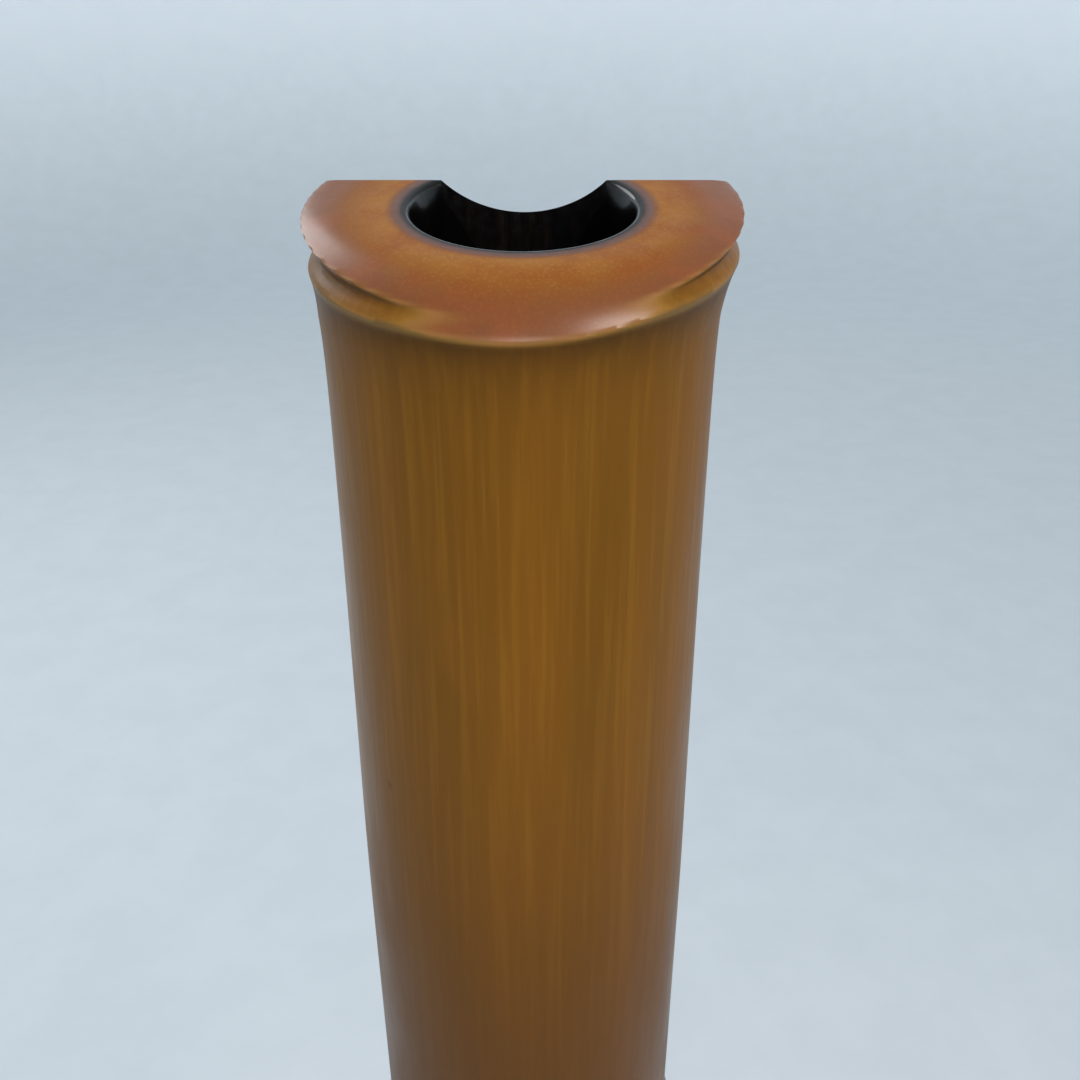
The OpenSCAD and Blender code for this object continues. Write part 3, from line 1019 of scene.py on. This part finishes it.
# Section of a rattan strand, across its width and up from its bed, each in shares of 1
STRAND = [
    (-0.485, 0.05), (-0.44, 0.0), (0.44, 0.0), (0.485, 0.05), (0.46, 0.55), (0.33, 0.86),
    (0.12, 1.0), (-0.12, 1.0), (-0.33, 0.86), (-0.46, 0.55),
]


def joint_binding(half, body, turns=7):
    """Split rattan wound round the culm beside the ring, over a thin bed of the same rattan finish."""
    z0, z1 = low(half + "_joint_binding").z, high(half + "_joint_binding").z
    bed_r = RING_SEAT_R + 0.25
    corners = [(RING_SEAT_R, z0, 0), (bed_r, z0, 0), (bed_r, z1, 0), (RING_SEAT_R, z1, 0)]
    bed = turned(half + "_binding_bed", corners, RATTAN)
    strand = winding("strand", RING_SEAT_R + 0.2, BINDING_R, z0, z1, turns, RATTAN, 96, STRAND, 0.5)
    piece = join(half + "_rattan_binding", [bed, strand])
    crisp(piece, 50)
    return belong(piece, body, "rattan", half + "_joint_binding")


def socket_sleeve():
    z0 = low("socket_sleeve").z
    corners = [
        (SLEEVE_R, z0, 0.15), (SLEEVE_R, SOCKET_TOP, 0), (SOCKET_R, SOCKET_TOP, 0),
        (SOCKET_R, z0 + 0.8, 0.3), (SOCKET_R + 0.45, z0, 0.15),
    ]
    piece = turned("socket_sleeve_lacquered", corners, SOCKET_LACQUER)
    crisp(piece)
    return belong(piece, "upper_half", "socket_lacquer", "socket_sleeve")


def tenon():
    thread_r = TENON_R - THREAD_RECESS
    corners = [
        (TENON_R, TENON_FOOT, 0.3), (TENON_R, THREAD_FOOT, 0.06), (thread_r, THREAD_FOOT, 0.06),
        (thread_r, THREAD_TOP, 0.06), (TENON_R, THREAD_TOP, 0.06), (TENON_R, TENON_TOP, 0.5),
        (TENON_DRILL_R, TENON_TOP, 0.12), (TENON_DRILL_R, TENON_FOOT, 0),
    ]
    piece = turned("tenon_bamboo_tube", corners, TENON_BAMBOO)
    crisp(piece)
    return belong(piece, "lower_half", "tenon_bamboo", "tenon_tube")


def tenon_thread():
    section = [(0.49 * math.sin(a), 0.5 + 0.5 * math.cos(a)) for a in steps(TURN, 0, 10)]
    piece = winding(
        "tenon_thread_winding", TENON_R - THREAD_RECESS, THREAD_OUT_R, THREAD_FOOT, THREAD_TOP,
        THREAD_TURNS, THREAD, 90, section, 0.12,
    )
    crisp(piece, 60)
    return belong(piece, "joint_fit", "thread", "tenon_thread")


upper_bamboo()
lower_bamboo()
root_scars()
upper_lacquer()
lower_lacquer()
horn_inlay()
for half_name, body_name in (("upper", "upper_half"), ("lower", "lower_half")):
    joint_ring(half_name, body_name)
    joint_binding(half_name, body_name)
socket_sleeve()
tenon()
tenon_thread()


# ---- Studio ----

def studio():
    """A pale floor that sweeps up into a wall all round, which glows a little to meet the sky."""
    radius, curve, wall, columns = 2.2, 0.8, 0.9, 96
    profile = [(0.02, 0), (0.4, 0), (1.0, 0), (radius, 0)]
    for a in steps(0, math.pi / 2, 13)[1:]:
        profile.append((radius + curve * math.sin(a), curve * (1 - math.cos(a))))
    profile += [(radius + curve, curve), (radius + curve, curve + wall)]
    theta = np.arange(columns) * TURN / columns
    rings = [ring(r / MM, z / MM, theta) for r, z in profile]
    faces = strip_faces(len(rings), columns, False)
    faces.append(tuple(range(columns)))
    look = Look("paper", emission_color=(0.86, 0.94, 1.0, 1))
    glow = look.fit(height_of(look), -150, curve / MM, 0.0, 0.34)
    look.feed(look.shader.inputs["Emission Strength"], glow)
    fibre = look.noise(look.place(1, 1, 1), 0.02, 4, 0.6)
    colour = look.mix(look.fit(fibre, 0.3, 0.7), (0.700, 0.755, 0.790), (0.730, 0.785, 0.820))
    paper = look.done(colour, look.fit(fibre, 0.3, 0.7, 0.62, 0.7))
    floor = mesh_piece("floor", np.concatenate(rings), [tuple(reversed(f)) for f in faces], paper)
    floor.data.shade_smooth()


def soft_light(name, place, aim, size, power, colour):
    lamp = bpy.data.lights.new(name, "AREA")
    lamp.shape = "DISK"
    lamp.size = size
    lamp.energy = power
    lamp.color = colour
    holder = bpy.data.objects.new(name, lamp)
    holder.location = place
    holder.rotation_euler = (Vector(aim) - Vector(place)).to_track_quat("-Z", "Y").to_euler()
    bpy.context.scene.collection.objects.link(holder)


def sky(colour, strength):
    world = bpy.data.worlds.new("sky")
    world.use_nodes = True
    world.node_tree.nodes["Background"].inputs["Color"].default_value = (*colour, 1)
    world.node_tree.nodes["Background"].inputs["Strength"].default_value = strength
    bpy.context.scene.world = world


studio()
sky((0.86, 0.94, 1.0), 0.50)
soft_light("key", (0.34, -0.34, 0.98), (0, 0, 0.53), 0.26, 2.3, (1.0, 0.90, 0.84))
soft_light("front", (-0.02, -0.90, 1.06), (0, 0, 0.53), 0.30, 2.0, (1.0, 0.80, 0.82))
soft_light("window", (-0.9, 0.9, 1.3), (0, 0, 0.4), 0.8, 6.0, (0.92, 0.96, 1.0))
bpy.context.scene.view_settings.view_transform = "Standard"

# The camera looks down at the mouth from the player's side
CAMERA_FROM_MOUTH = Vector((0.0015, -0.0984, 0.0170))
CAMERA_PITCH = math.radians(27)
CAMERA_LENS = 36.1
camera_data = bpy.data.cameras.new("camera")
camera_data.sensor_width = 36
camera_data.lens = CAMERA_LENS
camera_data.clip_start = 0.01
camera = bpy.data.objects.new("camera", camera_data)
camera.location = Vector((0, 0, MOUTH_Z * MM)) + CAMERA_FROM_MOUTH
camera.rotation_euler = (math.pi / 2 - CAMERA_PITCH, 0, 0)
bpy.context.scene.collection.objects.link(camera)
bpy.context.scene.camera = camera
